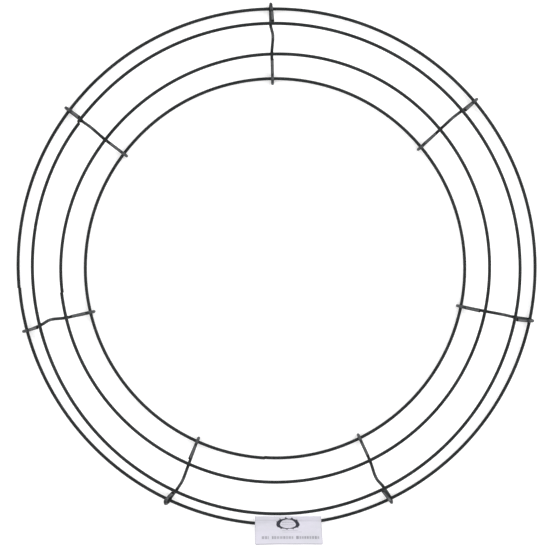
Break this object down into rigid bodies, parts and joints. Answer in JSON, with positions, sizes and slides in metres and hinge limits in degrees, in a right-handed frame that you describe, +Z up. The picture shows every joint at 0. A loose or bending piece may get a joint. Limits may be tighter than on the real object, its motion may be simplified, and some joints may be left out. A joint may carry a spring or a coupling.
{
  "type": "wreath frame",
  "caption": "Round wire wreath frame: concentric rings at two heights on ridged, hooked cross wires, with a folded paper tag on the outer ring.",
  "frame": {"origin": "centre of the inner ring, on the surface that the frame lies on", "axes": "+Z up out of that surface, towards the raised rings; +Y towards the top tie, away from the tag; +X to the right seen from above"},
  "size_m": [0.3556, 0.372, 0.023],
  "materials": {
    "ring_wire": "thin dark green-black paint, satin",
    "tie_wire": "thin dark green-black paint, satin, rubbed at the bends",
    "tag_paper": "smooth pale lilac-white card with grey print",
    "tag_adhesive": "dry clear glue film"
  },
  "bodies": {
    "frame": {"outer_ring": "ring_wire", "upper_outer_ring": "ring_wire", "upper_inner_ring": "ring_wire", "inner_ring": "ring_wire", "tie_top": "tie_wire", "tie_upper_right": "tie_wire", "tie_right": "tie_wire", "tie_lower_right": "tie_wire", "tie_lower_left": "tie_wire", "tie_left": "tie_wire", "tie_upper_left": "tie_wire"},
    "tag": {"tag": "tag_paper", "tag_glue": "tag_adhesive"}
  },
  "joints": [
    {"name": "tag_swing", "type": "hinge", "parent": "frame", "child": "tag", "pos_m": [0.0091, -0.1744, 0.00322], "axis": [-0.999, -0.0456, 0], "range_deg": [0, 100]}
  ]
}
